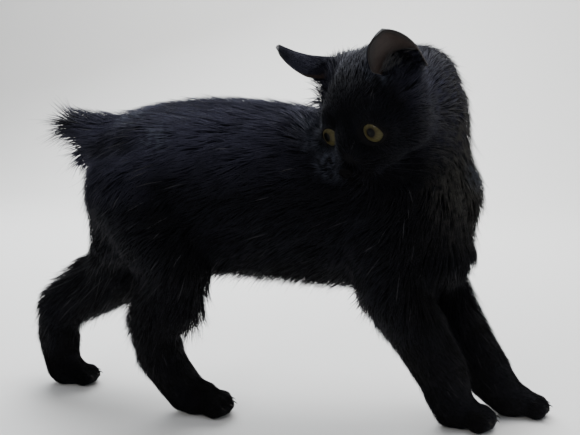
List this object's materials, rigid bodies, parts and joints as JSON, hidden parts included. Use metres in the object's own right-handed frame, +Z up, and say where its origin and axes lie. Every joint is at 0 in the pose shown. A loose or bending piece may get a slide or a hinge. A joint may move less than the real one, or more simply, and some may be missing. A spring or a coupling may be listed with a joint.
{
  "type": "manx kitten, still life-size model",
  "caption": "Still life-size model of a black, long-coated tailless kitten striding, its head turned back over the right shoulder.",
  "frame": {"origin": "on the floor, in the middle of the whole model's box", "axes": "+X towards the chest, +Y to the animal's left, +Z up"},
  "size_m": [0.2934, 0.1112, 0.1963],
  "materials": {
    "coat": "soft black fur with a blue-grey sheen and brownish tips",
    "ear_skin": "thin reddish-brown skin under sparse down",
    "eye": "wet yellow-green iris, round black pupil and clear cornea",
    "nose_leather": "moist black pebbled nose and pads",
    "whisker": "thin stiff grey-black whiskers",
    "claw": "smooth dark horn"
  },
  "bodies": {
    "root": {"head": "coat", "ear_left": "ear_skin", "ear_right": "ear_skin", "eye_left": "eye", "eye_right": "eye", "nose": "nose_leather", "neck": "coat", "torso": "coat", "tail": "coat", "shoulder_left": "coat", "shoulder_right": "coat", "forearm_left": "coat", "forearm_right": "coat", "forepaw_left": "coat", "forepaw_right": "coat", "thigh_left": "coat", "thigh_right": "coat", "shank_left": "coat", "shank_right": "coat", "hindpaw_left": "coat", "hindpaw_right": "coat"}
  },
  "joints": []
}
